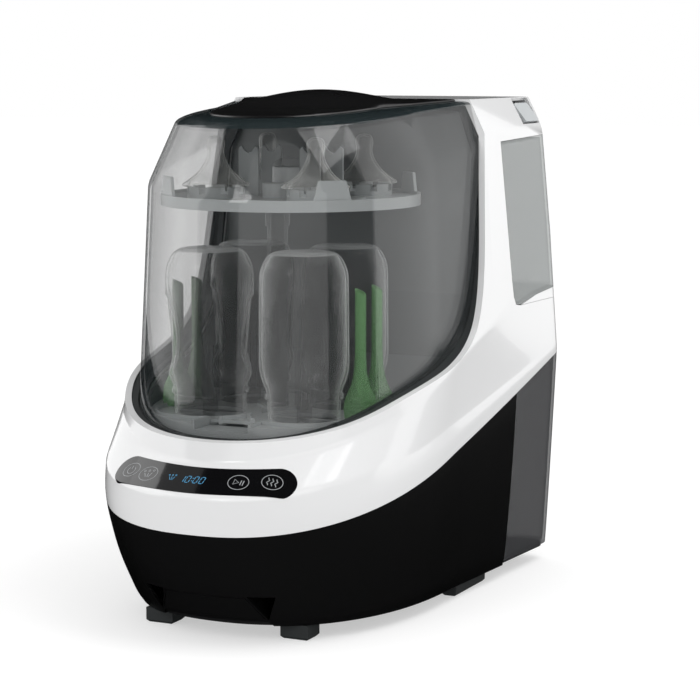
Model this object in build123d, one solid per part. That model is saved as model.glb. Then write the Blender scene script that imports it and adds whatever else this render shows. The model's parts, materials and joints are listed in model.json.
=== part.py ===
from build123d import *
import os
from math import atan2, cos, degrees, pi, sin

os.makedirs("parts", exist_ok=True)

# ---------------------------------------------------------------- driving dimensions, mm
# Everything is laid out about the upright axis of the wash chamber, with +Y to the rear,
# and moved at export so that the origin is at the middle of the footprint.
REAR = 245.0            # flat back of the housing
FRONT_REACH = 176.0     # how far the nose of the control band stands in front of the axis
AXIS_Y = (FRONT_REACH - REAR) / 2
FLOOR = 12.0            # underside of the base, above the floor
WALL = 3.0              # moulded wall of both casings
TOWER_TOP = 411.0
CHAMFER_FOOT = 378.0    # where the tower's side turns in to its roof
CHAMFER_X = 128.0
CHAMFER_SLOPE = 0.55    # sideways run per unit of height
CORNER = 16.0           # rear corner radius in plan
WIDE = 200.0            # half width of the blocks that only trim other shapes

LIP = 5.3               # white lip outside the lid seal
SEAL_WIDTH = 3.3
LID_WALL = 2.8
RACK_PLANE = 164.0      # top face of the lower rack
CHAMBER_FLOOR = 148.0
RECESS_R = 121.0        # round recess that holds the lower rack
SUMP_R = 36.0
POST_Y = -24.0          # feed post, in the middle of the bottles
BOTTLE_X, BOTTLE_PITCH = 42.0, 73.5
BOTTLE_R = 35.8
BOTTLE_TOP = 296.0
SIDE_NOZZLE_X, SIDE_NOZZLE_PITCH = 82.0, 31.0
UPPER_R = 105.0         # upper rack
UPPER_Z = 328.0         # lower edge of the upper rack's rim
TEAT_XY = 44.5
TANK_FRONT = 145.0      # front face of both tanks
WINDOW_FLOOR, WINDOW_TOP = 246.0, 377.0

# The casing's outline is given by sections from the floor up. Each one lies in a plane that
# climbs to the rear: height at the nose, climb per unit of depth, half width, depth of the
# widest point, reach of the nose, power of the nose's superellipse, half width at the back.
CASING = [
    (12.0, 0.00, 123.0, 44.0, 135.0, 2.30, 134.4),
    (19.0, 0.02, 126.5, 41.0, 140.5, 2.32, 135.5),
    (50.0, 0.12, 133.0, 32.0, 159.0, 2.40, 139.5),
    (88.0, 0.25, 137.5, 21.0, 171.0, 2.45, 144.0),
    (117.7, 0.19, 135.0, 20.0, 176.0, 2.35, 143.6),
    (139.0, 0.36, 137.0, 20.0, 148.0, 2.05, 137.5),
    (157.0, 0.36, 135.0, 20.0, 143.5, 2.10, 136.3),
    (345.0, 0.36, 123.2, 20.0, 143.5, 2.10, 118.2),
]
# The tinted lid, in the same terms: foot, crease of the wall, shoulder, edge of the flat top.
LID_REAR = 122.0
LID = [
    (140.0, 0.00, 124.5, 25.0, 134.5, 2.20, 131.0),
    (336.4, 0.165, 114.5, 32.0, 124.0, 2.25, 123.0),
    (393.7, 0.073, 92.0, 35.0, 101.0, 2.30, 112.0),
    (398.2, 0.058, 78.0, 35.0, 87.0, 2.20, 103.0),
]
# Side view of the line where the lid meets the housing, as depth and height.
RIM_LINE = [(-150, 153.5), (-88, 170), (-50, 183.5), (0, 196.5), (46, 211), (70, 229),
            (86, 262), (97, 320), (105, 374)]
RIM_TOP = (112.0, 420.0)
SEAM = [(-180, 85.5), (36, 134), (252, 193)]


# ---------------------------------------------------------------- shared shapes
def nose_points(section, inset, count=28):
    """Points of a section's superellipse nose, from its left widest point to its right one."""
    height, climb, half_width, widest, reach, power, _ = section
    half_width, reach = half_width - inset, reach - inset
    points = []
    for i in range(count + 1):
        angle = pi * i / count
        across, ahead = cos(angle), max(sin(angle), 0.0)
        x = -half_width * (1 if across >= 0 else -1) * abs(across) ** (2 / power)
        y = widest - (reach + widest) * ahead ** (2 / power)
        points.append((x, y, height + climb * (y + section[4])))
    return points


def section_wire(section, inset, rear, corner):
    """One closed outline: the nose, two long sides, two rounded rear corners and the back."""
    height, climb, _, _, reach, _, rear_width = section
    rear_width, back = rear_width - inset, rear

    def lifted(x, y):
        return (x, y, height + climb * (y + reach))

    nose = nose_points(section, inset)
    right = lifted(rear_width, back - corner)
    left = lifted(-rear_width, back - corner)
    back_right, back_left = lifted(rear_width - corner, back), lifted(corner - rear_width, back)
    edges = [
        Spline(*nose, tangents=[(0, -1, -climb), (0, 1, climb)]),
        Line(nose[-1], right),
        Bezier(right, lifted(rear_width, back), back_right),
        Line(back_right, back_left),
        Bezier(back_left, lifted(-rear_width, back), left),
        Line(left, nose[0]),
    ]
    return Wire([e.edge() for e in edges])


def body(sections, inset=0.0, rear=REAR, corner=CORNER):
    wires = [section_wire(s, inset, rear, max(corner - inset, 2.0)) for s in sections]
    return Solid.make_loft(wires, ruled=True)


def side_block(points_or_face, half=WIDE):
    """A side-view shape, depth by height, drawn out both ways along X."""
    face = points_or_face
    if isinstance(face, list):
        face = make_face(Plane.YZ * Polyline(*face, close=True))
    return extrude(face, amount=half, both=True)


def box(x0, x1, y0, y1, z0, z1):
    return Pos((x0 + x1) / 2, (y0 + y1) / 2, (z0 + z1) / 2) * Box(x1 - x0, y1 - y0, z1 - z0)


def rod(x, y, z0, z1, radius):
    return Pos(x, y, (z0 + z1) / 2) * Cylinder(radius, z1 - z0)


def spun(points, x=0.0, y=0.0):
    """A closed radius-by-height outline turned about an upright axis."""
    face = make_face(Plane.XZ * Polyline(*points, close=True))
    return Pos(x, y, 0) * revolve(face, Axis.Z)


def lid_region(grow=0.0):
    """Side view of everything in front of and above the rim line, moved out by a distance."""
    rim = Spline(*RIM_LINE)
    points = []
    for step in range(33):
        at, along = rim @ (step / 32), rim % (step / 32)
        points.append((at.X + grow * along.Y, at.Y - grow * along.X))
    edge = Plane.YZ * Spline(*points)
    frame = Plane.YZ * Polyline(points[-1], (RIM_TOP[0] + grow, RIM_TOP[1]), (RIM_TOP[0] + grow, 520),
                                (-260, 520), (-260, points[0][1]), points[0])
    return make_face([edge.edge(), *frame.edges()])


def below_seam(drop=0.0):
    points = [(y, z - drop) for y, z in SEAM]
    arc = Plane.YZ * ThreePointArc(*points)
    frame = Plane.YZ * Polyline(points[-1], (points[-1][0], -60), (points[0][0] - 60, -60),
                                (points[0][0] - 60, points[0][1]), points[0])
    return side_block(make_face([arc.edge(), *frame.edges()]))


def tower_outline(inset=0.0):
    """Front view of the whole casing: upright sides, the tower's chamfers and its roof."""
    top = TOWER_TOP - inset
    foot = CHAMFER_FOOT - inset * 0.4
    x_foot = CHAMFER_X - inset
    x_top = x_foot - (top - foot) * CHAMFER_SLOPE
    pts = [(-WIDE, -20), (-WIDE, foot), (-x_foot, foot), (-x_top, top), (x_top, top),
           (x_foot, foot), (WIDE, foot), (WIDE, -20)]
    face = make_face(Plane.XZ * Polyline(*pts, close=True))
    return extrude(face, amount=2 * WIDE + 50, both=True)


def along_y(x, z, y0, y1, radius):
    return Pos(x, (y0 + y1) / 2, z) * Rot(90, 0, 0) * Cylinder(radius, y1 - y0)


def front_block(points, y0, y1):
    """A front-view shape, across by height, drawn out from one depth to another."""
    face = make_face(Plane.XZ * Polyline(*points, close=True))
    return Pos(0, y1, 0) * extrude(face, amount=y1 - y0, dir=(0, -1, 0))


def mirrored(shape):
    return mirror(shape, about=Plane.YZ)


def hose(points, radius, bore):
    path = FilletPolyline(*points, radius=radius * 1.6)
    start = Plane(origin=path @ 0, z_dir=path % 0)
    tube = sweep(start * Circle(radius), path=path)
    return tube - sweep(start * Circle(bore), path=path)


# ---------------------------------------------------------------- outer surfaces
skin = body(CASING) & tower_outline()
cavity = body(CASING, WALL, rear=REAR - WALL) & tower_outline(WALL)
lip_bore = body(CASING, LIP, rear=REAR - LIP) & tower_outline(LIP)
lid_outer = body(LID, 0.0, rear=LID_REAR, corner=4)
lid_bore = body([(h - (LID_WALL if i == 3 else 0), *rest) for i, (h, *rest) in enumerate(LID)],
                LID_WALL, rear=LID_REAR + 8, corner=4)
lid_room = body(LID, -1.0, rear=LID_REAR + 2, corner=4)
seal_bore = body([(h - 8, *rest) for h, *rest in LID], 5.8, rear=LID_REAR + 30, corner=4)
rim_space = side_block(lid_region())

# side view of the clear tank, open to the rear, and of the straight way by which it pulls out
WINDOW = [(139.5, WINDOW_TOP - 1.5), (REAR + 30, WINDOW_TOP + 3), (REAR + 30, WINDOW_FLOOR + 3),
          (REAR, WINDOW_FLOOR), (195, 242), (160, 236.5), (149, 237.5), (145, 245), (144, 258)]
TANK_WAY = [*WINDOW[:2], (REAR + 30, 236.0), (159, 236.0), *WINDOW[-3:]]
# side view of the space inside the wash chamber
CHAMBER = [(-160, CHAMBER_FLOOR), (58, CHAMBER_FLOOR), (66, 168), (99, 196), (99, 250), (106, 320),
           (114, 374), (121, 440), (-160, 440)]

BAND_TILT = atan2(28.0, 21.3)       # the control band's normal above the horizon
BAND_MIDDLE = (0, -162.0, 128.4)
DRAWER = [(-45.5, 16.2), (-34.5, 37.0), (34.5, 37.0), (45.5, 16.2)]
INLET_X, INLET_Z = -88.0, 217.0
PORT_X, PORT_Z = 20.0, 262.0


def band_plane(depth):
    """The control band's plane at its middle, sunk by a depth below its surface."""
    x, y, z = BAND_MIDDLE
    return Plane(origin=(x, y + depth * cos(BAND_TILT), z - depth * sin(BAND_TILT)),
                 x_dir=(1, 0, 0), z_dir=(0, -cos(BAND_TILT), sin(BAND_TILT)))


def lens_block(grow=0.0):
    """The arched pill of the touch panel as a block along the band's normal."""
    arc = ThreePointArc((-65, 11), (0, 0), (65, 11))
    return extrude(band_plane(0) * SlotArc(arc, 26.5 + 2 * grow), amount=30, both=True)


def chamfer_plane(side, depth=0.0):
    """Plane on the tower's roof chamfer at the middle of a release button."""
    length = (1 + CHAMFER_SLOPE ** 2) ** 0.5
    normal = (side / length, 0, CHAMFER_SLOPE / length)
    x, z = 117.0, CHAMFER_FOOT + (CHAMFER_X - 117.0) / CHAMFER_SLOPE
    return Plane(origin=(side * x - normal[0] * depth, 221.0, z - normal[2] * depth),
                 x_dir=(0, 1, 0), z_dir=normal)


def button_block(side, grow, top, bottom):
    """A rounded, leaning button outline between two depths of the roof chamfer."""
    plane = chamfer_plane(side)
    lean = 5.0 * side
    outline = Polyline((-16 - lean, 9), (16 - lean, 9), (16 + lean, -9), (-16 + lean, -9), close=True)
    face = offset(fillet(make_face(outline).vertices(), 3.0), amount=grow) if grow else \
        fillet(make_face(outline).vertices(), 3.0)
    return extrude(plane.offset(-bottom) * face, amount=bottom - top)


# ---------------------------------------------------------------- housing
def base_shell():
    shell = (skin & below_seam()) - cavity
    shell -= box(-WIDE, WIDE, TANK_FRONT - 0.4, REAR + 9, -1, 260)
    shell += body(CASING, 0.5) & below_seam() & box(-WIDE, WIDE, 140, TANK_FRONT - 0.4, 15.2, 260)
    notch = front_block([(36, 38.5), (57, 38.5), (46.8, 17.5)], -190, -126)
    pocket = front_block([(34, 40.5), (60.5, 40.5), (47.5, 15.6)], -190, -123.5) & cavity
    tunnel = front_block([(x * 1.012, z) for x, z in DRAWER], -190, -100)
    for part in (notch, mirrored(notch)):
        shell -= part
    for part, cut in ((pocket, notch), (mirrored(pocket), mirrored(notch))):
        shell += part - cut
    shell -= tunnel
    return shell - along_y(-70, 140, 130, 150, 9)


def base_plate():
    plate = body(CASING, 3.4, rear=REAR - 3.4) & box(-WIDE, WIDE, -WIDE, WIDE + 60, 12, 15)
    plate -= [rod(x, y, 11, 16, 2.2) for x, y in SCREWS]
    return plate


SCREWS = [(-88, -60), (88, -60), (-104, 40), (104, 40), (-36, 128), (36, 128)]


def housing_screws():
    return [rod(x, y, 10.2, 12, 3.4) + rod(x, y, 12, 26, 1.6) for x, y in SCREWS]


def feet():
    pads = []
    for side in (-1, 1):
        front = Pos(side * 60, -105, 6) * Box(24, 20, 12)
        rear = Pos(side * 112, 99, 6) * Box(13, 64, 12)
        for pad in (front, rear):
            pads.append(chamfer(pad.faces().sort_by(Axis.Z)[0].edges(), 2.0))
    return pads


def upper_housing():
    shell = (skin - cavity) - below_seam(-0.25) - rim_space
    lip = ((skin - lip_bore) & side_block(lid_region(9))) - rim_space
    ledge = (lip_bore - seal_bore) & (side_block(lid_region(9)) - side_block(lid_region(6)))
    shell = (shell + lip + ledge) - (lid_room & side_block(lid_region(6)))
    window = side_block(TANK_WAY)
    frame = offset(make_face(Plane.YZ * Polyline(*TANK_WAY, close=True)), amount=3.0)
    shell += (cavity & side_block(frame)) - rim_space
    shell += cavity & (below_seam(-3.5) - below_seam(-0.5)) & box(-WIDE, WIDE, 140, REAR, 100, 260)
    shell -= window
    shell -= lens_block(0.15) - body(CASING, 2.0)
    shell -= extrude(band_plane(0) * Pos(-14, 0) * Rectangle(46, 14), amount=-12)
    for side in (-1, 1):
        shell -= button_block(side, 0.35, -3, 6)
    shell -= box(INLET_X - 14, INLET_X + 14, REAR - 9, REAR + 9, INLET_Z - 10, INLET_Z + 10)
    shell -= along_y(PORT_X, PORT_Z, 130, 150, 9.2)
    return shell


def control_lens():
    return (body(CASING, -0.45) - body(CASING, 1.9)) & lens_block()


def display_module():
    return extrude(band_plane(10.5) * Pos(-14, 0) * Rectangle(52, 18), amount=5.5)


def control_board():
    board = extrude(band_plane(13.5) * Rectangle(98, 21), amount=1.6)
    chips = [extrude(band_plane(17) * Pos(x, 0) * Rectangle(w, 9), amount=3.5)
             for x, w in ((-30, 14), (8, 20), (34, 8))]
    return board + chips


def wash_chamber():
    inner = body(LID, 8.2, rear=LID_REAR + 20, corner=4) & side_block(CHAMBER)
    wall_profile = offset(make_face(Plane.YZ * Polyline(*CHAMBER, close=True)), amount=2.8)
    outer = body([(LID[0][0] - 10, *LID[0][1:])] + LID[1:], 5.4, rear=LID_REAR + 17, corner=4)
    outer &= side_block(wall_profile) & tower_outline(LIP + 1)
    tub = outer - inner
    rear_wall = tub & box(-WIDE, WIDE, 90, 200, 180, 440)
    tub = (tub - side_block(lid_region(9.2))) + (rear_wall - side_block(lid_region(9.1)))
    sump = spun([(0, 109), (SUMP_R + 3, 109), (SUMP_R + 3, 141), (64, CHAMBER_FLOOR),
                 (0, CHAMBER_FLOOR)], 0, POST_Y)
    hollow = spun([(0, 112), (SUMP_R, 112), (SUMP_R, 143), (58, CHAMBER_FLOOR + 1),
                   (0, CHAMBER_FLOOR + 1)], 0, POST_Y)
    tub = tub + sump - hollow - rod(0, POST_Y, 100, 115, 7.0)
    return tub - box(66, 94, 50, 74, 152, 161)


def rim_seal():
    upstand = (lip_bore - lid_room)
    upstand &= side_block(lid_region(6)) - side_block(lid_region(0.9))
    seat = (lip_bore - seal_bore) & (side_block(lid_region(6)) - side_block(lid_region(2.2)))
    return upstand + seat


def sump_filter():
    disc = rod(0, POST_Y, 130, 132, SUMP_R - 0.3)
    holes = [Pos(0, POST_Y, 131) * Rot(0, 0, 360 * i / n) * Pos(r, 0, 0) * Cylinder(1.6, 4)
             for r, n in ((30, 24), (24, 18), (18, 14)) for i in range(n)]
    cup = rod(0, POST_Y, 114, 130, 14) - rod(0, POST_Y, 116, 133, 12.4)
    return (disc - holes - rod(0, POST_Y, 129, 133, 12.4)) + cup


def heating_plate():
    ring = spun([(70, 139), (98, 139), (98, CHAMBER_FLOOR - 2.8), (70, CHAMBER_FLOOR - 2.8)], 0, POST_Y)
    tags = [Pos(x, POST_Y - 84, 134) * Box(6, 1.2, 10) for x in (-8, 8)]
    return (ring & box(-110, 110, -112, 60, 100, 150)) + tags


PUMP_X, PUMP_Y = -62.0, 6.0
BLOWER_X, BLOWER_Y = 62.0, 66.0


def wash_pump():
    motor = rod(PUMP_X, PUMP_Y, 26, 74, 23) + rod(PUMP_X, PUMP_Y, 15, 26, 12)
    volute = rod(PUMP_X, PUMP_Y, 74, 98, 33) - rod(PUMP_X, PUMP_Y, 77, 95, 30)
    inlet = rod(PUMP_X, PUMP_Y, 98, 106, 9) - rod(PUMP_X, PUMP_Y, 94, 107, 6.5)
    outlet = Pos(PUMP_X + 22, POST_Y, 86) * Rot(0, 90, 0) * Cylinder(8, 40)
    bore = Pos(PUMP_X + 24, POST_Y, 86) * Rot(0, 90, 0) * Cylinder(6, 40)
    body_with_outlet = volute + (outlet - bore - rod(PUMP_X, PUMP_Y, 77, 95, 30))
    return (motor + body_with_outlet - bore - rod(PUMP_X, PUMP_Y, 94, 99, 6.5)) + inlet


def wash_impeller():
    hub = rod(PUMP_X, PUMP_Y, 78, 92, 5)
    disc = rod(PUMP_X, PUMP_Y, 78, 80.5, 26)
    blades = [Pos(PUMP_X, PUMP_Y, 84.5) * Rot(0, 0, 60 * i) * Pos(13.5, 0, 0) * Box(21, 2, 8)
              for i in range(6)]
    return hub + disc + blades


def drain_pump():
    can = rod(-70, 92, 15, 62, 19) + rod(-70, 92, 62, 76, 24)
    spout = rod(-70, 92, 76, 92, 6)
    return can + spout


def blower_housing():
    x, y = BLOWER_X, BLOWER_Y
    case = rod(x, y, 22, 64, 44) + box(x - 2, x + 36, y, y + 56, 22, 64)
    hollow = rod(x, y, 24.5, 61.5, 41.5) + box(x + 0.5, x + 33.5, y, y + 60, 24.5, 61.5)
    legs = [rod(x + dx, y + dy, 15, 22, 4) for dx, dy in ((-30, -12), (12, -34), (12, 36))]
    motor = rod(x, y, 64, 82, 20)
    return (case - hollow - rod(x, y, 20, 26, 20) - rod(x, y, 60, 66, 3)) + legs + (motor - rod(x, y, 63, 70, 3))


def blower_wheel():
    x, y = BLOWER_X, BLOWER_Y
    disc = rod(x, y, 54, 56, 36) + rod(x, y, 44, 56, 6) + rod(x, y, 56, 68, 2.94)
    ring = rod(x, y, 28, 30, 36) - rod(x, y, 27, 31, 27)
    blades = [Pos(x, y, 42) * Rot(0, 0, 15 * i) * Pos(31, 0, 0) * Rot(0, 0, 35) * Box(8, 1.2, 26)
              for i in range(24)]
    return disc + ring + blades


def air_duct():
    """Up behind the blower, then forward to the low rear edge of the wash chamber."""
    x0, x1 = BLOWER_X - 2, BLOWER_X + 36
    outer = box(x0, x1, 122.2, 137, 22, 163) + box(x0, x1, 68, 137, 149, 163)
    inner = box(x0 + 2.5, x1 - 2.5, 124.7, 134.5, 24.5, 160.5) + box(x0 + 2.5, x1 - 2.5, 60, 134.5, 151.5, 160.5)
    return outer - inner - box(x0 + 2.5, x1 - 2.5, 118, 126, 24.5, 61.5)


def power_board():
    board = box(-60, 60, 150, 214, 221, 222.6)
    parts = [box(-50, -20, 158, 190, 200, 221), box(-8, 12, 160, 186, 206, 221), box(24, 50, 156, 200, 208, 221)]
    return board + parts


def power_inlet():
    frame = box(INLET_X - 13.6, INLET_X + 13.6, REAR - 22, REAR - 0.5, INLET_Z - 9.6, INLET_Z + 9.6)
    well = box(INLET_X - 11, INLET_X + 11, REAR - 17, REAR + 1, INLET_Z - 7, INLET_Z + 7)
    pins = [along_y(INLET_X + dx, INLET_Z, REAR - 18, REAR - 5, 2) for dx in (-5, 5)]
    return frame - well + pins


def water_hoses():
    """Sump to wash pump, wash pump to spray post, drain pump to waste tank."""
    reach = (PUMP_X ** 2 + (PUMP_Y - POST_Y) ** 2) ** 0.5
    start = (PUMP_X * 39 / reach, POST_Y + (PUMP_Y - POST_Y) * 39 / reach, 121)
    return [hose([start, (PUMP_X, PUMP_Y, 121), (PUMP_X, PUMP_Y, 105)], 6.4, 4.5),
            hose([(-20, POST_Y, 86), (0, POST_Y, 86), (0, POST_Y, 111)], 6.4, 4.5),
            hose([(-70, 92, 92), (-70, 92, 140), (-70, 138, 140)], 6.4, 4.5)]


def tank_dock():
    socket = along_y(PORT_X, PORT_Z, 124, 136.2, 12) - along_y(PORT_X, PORT_Z, 127, 137, 8.5)
    return socket - along_y(PORT_X, PORT_Z, 123, 128, 4) + (
        along_y(PORT_X, PORT_Z, 116, 124, 6) - along_y(PORT_X, PORT_Z, 115, 125, 4))


# ---------------------------------------------------------------- lid
STUDS = [(-52, -38), (52, -38), (-68, 74), (68, 74)]


def roof_height(y):
    height, climb, _, _, reach, _, _ = LID[3]
    return height + climb * (y + reach)


def lid_cover():
    cover = (lid_outer - lid_bore) & side_block(lid_region(1.9))
    return cover - [rod(x, y, 380, 415, 2.3) for x, y in STUDS]


def lid_handle():
    height, climb, _, _, reach, _, _ = LID[3]
    outline = (height, climb, 66.0, 30.0, 76.0, 2.2, 99.0)
    low = (outline[0] + climb * (reach - 76), *outline[1:])
    top = (low[0] + 1.8, climb, 64.5, 30.0, 74.5, 2.2, 97.5)
    plate = Solid.make_loft([section_wire(low, 0, LID_REAR - 12, 6), section_wire(top, 0, LID_REAR - 13, 6)],
                            ruled=True)
    base = roof_height(56)
    bump = loft([Pos(0, 50, base - 1.5) * Ellipse(58, 58), Pos(0, 54, base + 5.5) * Ellipse(47, 44),
                 Pos(0, 57, base + 10.5) * Ellipse(34, 28), Pos(0, 58, base + 12.6) * Ellipse(18, 12)])
    bump -= body([(h + 0.02, *rest) for h, *rest in LID], -0.02, rear=LID_REAR, corner=4)
    studs = [rod(x, y, roof_height(y) - 8, roof_height(y) + 1, 2.0) for x, y in STUDS]
    return plate + bump + studs


def handle_clips():
    return [rod(x, y, roof_height(y) - 6.5, roof_height(y) - 3.4, 5) - rod(x, y, 380, 420, 2.0)
            for x, y in STUDS]


# ---------------------------------------------------------------- lower rack
BOTTLES = [(side * BOTTLE_X, POST_Y + step * BOTTLE_PITCH / 2) for step in (-1, 1) for side in (-1, 1)]
SIDE_NOZZLES = [(side * SIDE_NOZZLE_X, POST_Y - 2.5 + step * SIDE_NOZZLE_PITCH / 2)
                for step in (-1, 1) for side in (-1, 1)]


def lower_rack():
    outline = body([(130, 0, 112.5, 20, 122.5, 2.2, 113.5), (190, 0, 112.5, 20, 122.5, 2.2, 113.5)],
                   0, rear=54, corner=14)
    hollow = body([(130, 0, 110.3, 20, 120.3, 2.2, 111.3), (190, 0, 110.3, 20, 120.3, 2.2, 111.3)],
                  0, rear=52, corner=12)
    tray = outline & box(-WIDE, WIDE, -WIDE, WIDE, CHAMBER_FLOOR + 0.3, RACK_PLANE)
    tray -= hollow & box(-WIDE, WIDE, -WIDE, WIDE, 100, RACK_PLANE - 2.5)
    for x, y in BOTTLES:
        tray -= rod(x, y, 150, 170, 27)
        tray += spun([(43, 160), (45, 160), (45, RACK_PLANE + 3), (43, RACK_PLANE + 3)], x, y) & outline
    for x, y in BOTTLES:
        tray -= rod(x, y, RACK_PLANE, RACK_PLANE + 5, 42.9)
        tray += box(x - 28, x + 28, y - 3, y + 3, RACK_PLANE - 4, RACK_PLANE) - rod(x, y, 150, 170, 6.2)
    for x, y in SIDE_NOZZLES:
        tray -= rod(x, y, 150, 175, 6.2)
        tray -= rod(x, y, RACK_PLANE, 175, 14)
    tray -= rod(0, POST_Y, 140, 180, 8.5)
    tab = box(-26, 26, -125.5, -96, 157, RACK_PLANE + 2.5) - box(-23.5, 23.5, -123, -95, 159.5, 175)
    return tray - box(-23.5, 23.5, -130, -95, 159.5, 175) + (tab & outline)


def spray_post():
    tube = rod(0, POST_Y, 133, 336, 8.3) + rod(0, POST_Y, 312, 326.8, 10)
    return tube - rod(0, POST_Y, 130, 340, 6)


def spray_manifold():
    arms = []
    for x, y in BOTTLES + SIDE_NOZZLES:
        length = (x ** 2 + (y - POST_Y) ** 2) ** 0.5
        angle = degrees(atan2(y - POST_Y, x))
        arms.append(Pos(0, POST_Y, 156) * Rot(0, 0, angle) * Pos(length / 2, 0, 0) * Box(length, 7, 6))
        arms.append(rod(x, y, 153, 159, 7.5))
    whole = arms[0] + arms[1:] + [rod(0, POST_Y, 152, 159, 14)]
    return whole - rod(0, POST_Y, 150, 162, 8.3) - [rod(x, y, 156, 160, 4) for x, y in BOTTLES + SIDE_NOZZLES]


def bottle_nozzles():
    profile = [(0, 156), (4, 156), (4, 159), (5.9, 159), (5.9, 172), (5.0, 176), (4.0, 240), (5.2, 244),
               (5.2, 249), (2.4, 255), (0, 255)]
    spikes = []
    for x, y in BOTTLES:
        fins = [Pos(x, y, 195) * Rot(0, 0, a) * Box(15, 1.6, 46) for a in (45, 135)]
        spikes.append(spun(profile, x, y) + fins)
    return spikes


def side_nozzles():
    profile = [(0, 156), (4, 156), (4, 159), (6.1, 159), (6.1, RACK_PLANE), (12.6, RACK_PLANE + 0.3),
               (13.4, 172), (12, 180), (7.5, 190), (5.2, 200), (4.4, 215), (4.4, 268), (3.1, 268), (3.1, 200),
               (4.5, 192), (0, 180)]
    return [spun(profile, x, y) - Pos(x, y, 271) * Rot(0, 28, 0) * Box(30, 30, 12) for x, y in SIDE_NOZZLES]


def bottle(x, y):
    """A wide-neck bottle, mouth down on the rack."""
    z0 = RACK_PLANE + 0.2
    outside = [(29.0, z0), (29.0, z0 + 15), (31.0, z0 + 16), (31.0, z0 + 19), (29.5, z0 + 21),
               (BOTTLE_R, z0 + 36), (BOTTLE_R - 0.8, z0 + 116), (33, z0 + 126), (27, BOTTLE_TOP)]
    inside = [(0, BOTTLE_TOP - 2.2), (25.5, BOTTLE_TOP - 2.2), (31.2, z0 + 124.5), (BOTTLE_R - 2.8, z0 + 115.5),
              (BOTTLE_R - 2.0, z0 + 37), (27.2, z0 + 22), (27.2, z0)]
    return spun(outside + [(0, BOTTLE_TOP)] + inside, x, y)


# ---------------------------------------------------------------- upper rack
TEATS = [(sx * TEAT_XY, sy * TEAT_XY) for sy in (-1, 1) for sx in (-1, 1)]
COMBS = [(-34, -8), (34, 8), (-21.5, 8), (21.5, -8)]


def upper_rack():
    rim = spun([(UPPER_R - 2.5, UPPER_Z), (UPPER_R, UPPER_Z), (UPPER_R, UPPER_Z + 9), (UPPER_R - 2.5, UPPER_Z + 9)])
    plate = rod(0, 0, UPPER_Z + 4, UPPER_Z + 6.5, UPPER_R - 1)
    holes = [rod(x, y, UPPER_Z, UPPER_Z + 9, 19) for x, y in TEATS]
    holes += [Rot(0, 0, 90 * i) * Pos(80, 0, UPPER_Z + 5) * Box(34, 16, 9) for i in range(4)]
    rack = rim + plate - holes
    for x, y in TEATS:
        cup = spun([(20, UPPER_Z + 4), (23, UPPER_Z + 4), (23, UPPER_Z + 15.5), (21, UPPER_Z + 15.5)], x, y)
        rack += cup - [Pos(x, y, UPPER_Z + 14) * Rot(0, 0, 45 * i) * Box(60, 6, 8) for i in range(4)]
    for i in range(4):
        ear = front_block([(-17, UPPER_Z + 3), (17, UPPER_Z + 3), (11, UPPER_Z + 24), (-11, UPPER_Z + 24)],
                          -UPPER_R, -UPPER_R + 2.5)
        rack += Rot(0, 0, 45 + 90 * i) * Pos(0, 1.5, 0) * ear
    for x, y in COMBS:
        crest = [(x - 9, UPPER_Z + 5), (x + 9, UPPER_Z + 5), (x + 9, UPPER_Z + 44.5), (x + 6.5, UPPER_Z + 46.5),
                 (x + 3, UPPER_Z + 42), (x, UPPER_Z + 41), (x - 3, UPPER_Z + 42), (x - 6.5, UPPER_Z + 46.5),
                 (x - 9, UPPER_Z + 44.5)]
        rack += front_block(crest, y - 1.2, y + 1.2)
    rack += rod(0, 0, UPPER_Z + 5, UPPER_Z + 30, 15) - rod(0, 0, UPPER_Z + 6.5, UPPER_Z + 34, 13)
    socket = rod(0, POST_Y, UPPER_Z - 1, UPPER_Z + 18, 12) - rod(0, POST_Y, UPPER_Z - 2, UPPER_Z + 15, 8.7)
    return rack - rod(0, POST_Y, UPPER_Z - 2, UPPER_Z + 15, 8.7) + socket


def rack_hub():
    return spun([(0, UPPER_Z + 27), (12.8, UPPER_Z + 27), (12.8, UPPER_Z + 30), (14.6, UPPER_Z + 30),
                 (14.2, UPPER_Z + 33), (9.5, UPPER_Z + 36.5), (0, UPPER_Z + 38.5)])


def teat(x, y):
    z0 = UPPER_Z + 15.8
    outside = [(27, z0), (27, z0 + 2), (24, z0 + 4), (14, z0 + 12), (7.5, z0 + 21), (6.3, z0 + 27),
               (7.4, z0 + 32), (7.4, z0 + 36), (5, z0 + 39.4), (0, z0 + 40.3)]
    inside = [(0, z0 + 38.6), (4, z0 + 37.8), (5.8, z0 + 35), (5.8, z0 + 33), (4.8, z0 + 27), (6, z0 + 20),
              (12.6, z0 + 10.6), (21, z0 + 3.6), (22, z0)]
    return spun(outside + inside, x, y)


# ---------------------------------------------------------------- tanks, drawer and buttons
def clean_tank():
    face = offset(make_face(Plane.YZ * Polyline(*WINDOW, close=True)), amount=-0.4)
    block = skin & side_block(face)
    hollow = body(CASING, 2.6, rear=REAR - 2.6) & side_block(offset(face, amount=-2.6))
    tank = block - hollow
    tank -= rod(-70, 195, 370, 384, 17)
    stub = along_y(PORT_X, PORT_Z, 130, 146, 7.6) - along_y(PORT_X, PORT_Z, 129, 160, 5)
    return tank - along_y(PORT_X, PORT_Z, 129, 160, 5) + stub


def clean_tank_foot():
    """White wedge under the clear tank, which slides on the housing's level shelf."""
    profile = [(161, 236.3), (REAR + 9, 236.3), (REAR + 9, WINDOW_FLOOR + 0.5), (REAR, WINDOW_FLOOR),
               (195, 242)]
    wedge = skin & side_block(profile)
    return wedge - box(-96, 96, 186, REAR - 6, 230, 260)


def clean_tank_cap():
    top = side_block(offset(make_face(Plane.YZ * Polyline(*WINDOW, close=True)), amount=-0.4))
    return rod(-70, 195, 368, 384, 17) & top


def port_seal():
    return along_y(PORT_X, PORT_Z, 131.5, 134, 8.2) - along_y(PORT_X, PORT_Z, 131, 135, 7.6)


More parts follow.
